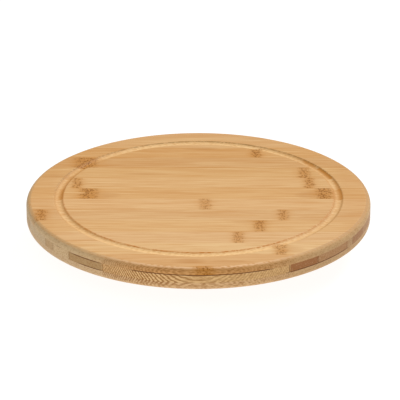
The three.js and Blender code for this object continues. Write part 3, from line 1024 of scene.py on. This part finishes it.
def sheet_section(line):
    """The closed outline of a sheet that follows a middle line."""
    points = [Vector(point) for point in line]
    above, below = [], []
    for i, point in enumerate(points):
        before = point - points[i - 1] if i else points[1] - point
        after = points[i + 1] - point if i < len(points) - 1 else before
        normal = Vector((-before.normalized().y, before.normalized().x))
        mitre = (normal + Vector((-after.normalized().y, after.normalized().x))).normalized()
        offset = mitre * (SHEET / 2 / mitre.dot(normal))
        above.append(point + offset)
        below.append(point - offset)
    return [tuple(point) for point in below + above[::-1]]


def square_reach(radius, angle):
    """Pulls the flange's rim out to a square with rounded corners."""
    if radius <= FLANGE_START + TINY:
        return radius
    a = abs((angle + math.pi / 4) % (math.pi / 2) - math.pi / 4)
    inset = PLATE_HALF_SIDE - PLATE_CORNER
    if PLATE_HALF_SIDE * math.tan(a) <= inset:
        edge = PLATE_HALF_SIDE / math.cos(a)
    else:
        along = inset * (math.cos(a) + math.sin(a))
        edge = along + math.sqrt(along ** 2 - 2 * inset ** 2 + PLATE_CORNER ** 2)
    return edge - (PLATE_HALF_SIDE - radius)


def plate_holes(low, high):
    places = corner_places(SCREW_CIRCLE)
    return [drill(place, PLATE_HOLE_RADIUS, low, high, HOLE_SEGMENTS) for place in places]


def make_lower_plate(material):
    outline = [(r, BASE_TOP + z) for r, z in sheet_section(race_line())]
    piece = finish_mesh("lower_plate", revolve(outline, PLATE_SEGMENTS, reach=square_reach), material)
    cut(piece, plate_holes(BASE_TOP - OVERCUT, BASE_TOP + 2 * SHEET))
    put(piece, "base", "zinc_plate", "bearing_lower_plate")


def make_upper_plate(material):
    """The lower plate's section upside down, with a collar that hooks under the lower plate's lip."""
    race = [(r, BEARING_HEIGHT - z) for r, z in race_line()[1:]]
    foot = COLLAR_FOOT_HEIGHT
    head = BEARING_HEIGHT - LIP_HEIGHT
    bend = COLLAR_BEND
    corner = bend / 4
    collar = [
        (COLLAR_FOOT_RADIUS, foot), (COLLAR_RADIUS + bend, foot),
        (COLLAR_RADIUS + corner, foot + corner), (COLLAR_RADIUS, foot + bend),
        (COLLAR_RADIUS, head - bend), (COLLAR_RADIUS + corner, head - corner),
        (COLLAR_RADIUS + bend, head),
    ]
    outline = [(r, BASE_TOP + z) for r, z in sheet_section(collar + race)]
    piece = finish_mesh("upper_plate", revolve(outline, PLATE_SEGMENTS, reach=square_reach), material)
    cut(piece, plate_holes(BOARD_BOTTOM - 2 * SHEET, BOARD_BOTTOM + OVERCUT))
    put(piece, "turntable", "zinc_plate", "bearing_upper_plate")


BALL_NODES = sorted(
    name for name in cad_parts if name.startswith("ball_") and name != "ball_cage"
)


def ball_centre(node):
    low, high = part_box(node)
    return (low + high) / 2


def make_balls(material):
    for node in BALL_NODES:
        centre = ball_centre(node)
        outline = []
        for i in range(BALL_STEPS + 1):
            angle = math.pi * (i / BALL_STEPS - 0.5)
            radius = 0 if i in (0, BALL_STEPS) else BALL_RADIUS * math.cos(angle)
            outline.append((radius, centre.z + BALL_RADIUS * math.sin(angle)))
        piece = finish_mesh("steel_" + node, revolve(outline, BALL_SEGMENTS, centre[:2]), material)
        put(piece, "rolling_" + node, "ball_steel", node)


def make_cage(material):
    low, high = CAGE_LOW.z, CAGE_HIGH.z
    outline = ring_outline(CAGE_INNER_RADIUS, CAGE_HIGH.x, low, high, CAGE_EDGE_ROUND)
    piece = finish_mesh("cage_ring", revolve(outline, PLATE_SEGMENTS), material)
    holes = []
    for node in BALL_NODES:
        place = ball_centre(node)[:2]
        holes.append(drill(place, CAGE_HOLE_RADIUS, low - OVERCUT, high + OVERCUT, HOLE_SEGMENTS))
    cut(piece, holes)
    put(piece, "ball_ring", "nylon", "ball_cage")


# ---- Screws and washers ----

SCREW_SEGMENTS = 32
SCREW_EDGE_STEPS = 5
RECESS_DEPTH = 1.3 * MM
RECESS_OVERCUT = 0.4 * MM

# The cross recess's span and width, at its mouth and at its bottom.
RECESS_MOUTH = (3.9 * MM, 0.85 * MM)
RECESS_BOTTOM = (1.5 * MM, 0.6 * MM)

# The head's outline as shares of its radius and height, with each corner's rounding.
HEAD_CORNERS = [(0, 0, 0), (1, 0, 0.25 * MM), (1, 0.55, 0.5 * MM), (0.7, 1, 0.6 * MM), (0, 1, 0)]

# The shank: its thread, the plain stretch under the head, its point, and how finely it is drawn.
THREAD_PITCH = 1.35 * MM
THREAD_HEIGHT = 0.32 * MM
THREAD_ROOT_RADIUS = SHANK_RADIUS - 0.25 * MM
PLAIN_LENGTH = 1.6 * MM
POINT_LENGTH = 3 * MM
TIP_RADIUS = 0.04 * MM
SHANK_SEGMENTS = 20
ROWS_PER_TURN = 9

SCREWS_OF_EACH_KIND = 4


def cross_recess(centre, head_top, up):
    """Two crossing wedges that narrow towards the bottom of a screw's recess."""
    tools = []
    for long_x in (True, False):
        bm = bmesh.new()
        bmesh.ops.create_cube(bm, size=1)
        for vert in bm.verts:
            deep = vert.co.z < 0
            span, width = RECESS_BOTTOM if deep else RECESS_MOUTH
            x = vert.co.x * (span if long_x else width)
            y = vert.co.y * (width if long_x else span)
            z = head_top + up * (-RECESS_DEPTH if deep else RECESS_OVERCUT)
            vert.co = (centre[0] + x, centre[1] + y, z)
        tools.append(bm)
    return tools


def threaded_shank(centre, seat, up, length):
    """A shank with a helical thread that tapers to a point. up is the way the head faces."""
    bm = bmesh.new()
    rows = int(length / THREAD_PITCH * ROWS_PER_TURN)
    rings = []
    for row in range(rows + 1):
        along = length * row / rows
        taper = min(1, (length - along) / POINT_LENGTH)
        ring = []
        for i in range(SHANK_SEGMENTS):
            turn = (along / THREAD_PITCH - i / SHANK_SEGMENTS * up) % 1
            crest = max(0, 1 - abs(turn - 0.5) * 4) * THREAD_HEIGHT * (along > PLAIN_LENGTH)
            radius = max((THREAD_ROOT_RADIUS + crest) * taper, TIP_RADIUS)
            angle = 2 * math.pi * i / SHANK_SEGMENTS
            x = centre[0] + radius * math.cos(angle)
            y = centre[1] + radius * math.sin(angle)
            ring.append(bm.verts.new((x, y, seat - up * along)))
        rings.append(ring)
    for first, second in zip(rings, rings[1:]):
        for i in range(SHANK_SEGMENTS):
            j = (i + 1) % SHANK_SEGMENTS
            bm.faces.new((first[i], first[j], second[j], second[i]))
    bm.faces.new(rings[0])
    bm.faces.new(rings[-1])
    return bm


def make_screw(name, node, body, length, up, material):
    """A pan-head screw on its CAD node. up is 1 where the head is at the top and -1 at the bottom."""
    low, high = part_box(node)
    centre = ((low.x + high.x) / 2, (low.y + high.y) / 2)
    top = high.z if up > 0 else low.z
    seat = top - up * HEAD_HEIGHT
    corners = [(r * HEAD_RADIUS, z * HEAD_HEIGHT, rounding) for r, z, rounding in HEAD_CORNERS]
    outline = [(r, seat + up * z) for r, z in rounded(corners, SCREW_EDGE_STEPS)]
    piece = finish_mesh(name, revolve(outline, SCREW_SEGMENTS, centre), material)
    cut(piece, cross_recess(centre, top, up))
    shank = finish_mesh(name + "_shank", threaded_shank(centre, seat, up, length), material)
    joined = bmesh.new()
    joined.from_mesh(piece.data)
    joined.from_mesh(shank.data)
    joined.to_mesh(piece.data)
    joined.free()
    bpy.data.objects.remove(shank)
    put(piece, body, "screw_steel", node)


def make_screws(material):
    """All the screws, by kind, body, length and the way the head faces."""
    kinds = [
        ("board", "turntable", BOARD_SCREW_LENGTH, -1), ("base", "base", BASE_SCREW_LENGTH, 1),
        ("foot", "base", BASE_SCREW_LENGTH, -1),
    ]
    for i in range(1, SCREWS_OF_EACH_KIND + 1):
        for kind, body, length, up in kinds:
            make_screw(f"steel_{kind}_screw_{i}", f"{kind}_screw_{i:02d}", body, length, up, material)


WASHER_SEGMENTS = 40
WASHER_EDGE_ROUND = 0.15 * MM


def make_washers(material):
    outer = (WASHER_HIGH.x - WASHER_LOW.x) / 2
    outline = ring_outline(PILOT_RADIUS, outer, WASHER_LOW.z, WASHER_HIGH.z, WASHER_EDGE_ROUND)
    for i, place in enumerate(corner_places(FOOT_CIRCLE), 1):
        piece = finish_mesh(f"steel_washer_{i}", revolve(outline, WASHER_SEGMENTS, place), material)
        put(piece, "base", "screw_steel", f"foot_washer_{i:02d}")


# ---- Base and feet ----

BASE_SEGMENTS = 192
BASE_EDGE_STEPS = 8
ACCESS_HOLE_SEGMENTS = 64
FOOT_SEGMENTS = 64
FOOT_EDGE_STEPS = 5
FOOT_EDGE_ROUND = 0.8 * MM
FOOT_SMALL_ROUND = 0.3 * MM


def make_base(material):
    corners = [
        (0, BASE_BOTTOM, 0), (BASE_RADIUS, BASE_BOTTOM, BASE_EDGE_ROUND),
        (BASE_RADIUS, BASE_TOP, BASE_EDGE_ROUND), (0, BASE_TOP, 0),
    ]
    outline = rounded(corners, BASE_EDGE_STEPS)
    piece = finish_mesh("base_board", revolve(outline, BASE_SEGMENTS), material)
    low = BASE_BOTTOM - OVERCUT
    high = BASE_TOP + OVERCUT
    base_tip = BASE_TOP + SHEET - BASE_SCREW_LENGTH - SCREW_ROOM
    foot_tip = WASHER_LOW.z + BASE_SCREW_LENGTH + SCREW_ROOM
    holes = [drill((SCREW_CIRCLE, 0), ACCESS_HOLE_RADIUS, low, high, ACCESS_HOLE_SEGMENTS)]
    for place in corner_places(SCREW_CIRCLE):
        holes.append(drill(place, PILOT_RADIUS, base_tip, high, PILOT_SEGMENTS))
    for place in corner_places(FOOT_CIRCLE):
        holes.append(drill(place, PILOT_RADIUS, low, foot_tip, PILOT_SEGMENTS))
    cut(piece, holes)
    put(piece, "base", "bamboo_base", "base_disc")


def make_feet(material):
    top = FOOT_HIGH.z
    small = FOOT_SMALL_ROUND
    corners = [
        (FOOT_RECESS_RADIUS, 0, small), (FOOT_BOTTOM_RADIUS, 0, FOOT_EDGE_ROUND),
        (FOOT_TOP_RADIUS, top, small), (PILOT_RADIUS, top, 0),
        (PILOT_RADIUS, FOOT_RECESS_DEPTH, 0), (FOOT_RECESS_RADIUS, FOOT_RECESS_DEPTH, small),
    ]
    outline = rounded(corners, FOOT_EDGE_STEPS)
    for i, place in enumerate(corner_places(FOOT_CIRCLE), 1):
        piece = finish_mesh(f"foot_{i}", revolve(outline, FOOT_SEGMENTS, place), material)
        put(piece, "base", "rubber", f"rubber_foot_{i:02d}")


# ---- Everything ----


bpy.context.scene.view_settings.view_transform = "Standard"
make_camera()
make_light()
make_floor()
make_top_ply(bamboo_top())
make_core_ply(bamboo_core())
make_bottom_ply(bamboo_plain("bamboo_under", *UNDER_STRIPS, UNDER_MARKS, front_ripples=True))
make_base(bamboo_plain("bamboo_base", *BASE_STRIPS, BASE_MARKS))
ZINC = zinc_sheet()
make_lower_plate(ZINC)
make_upper_plate(ZINC)
make_balls(ball_steel())
make_cage(cage_nylon())
SCREW = screw_steel()
make_screws(SCREW)
make_washers(SCREW)
make_feet(foot_rubber())
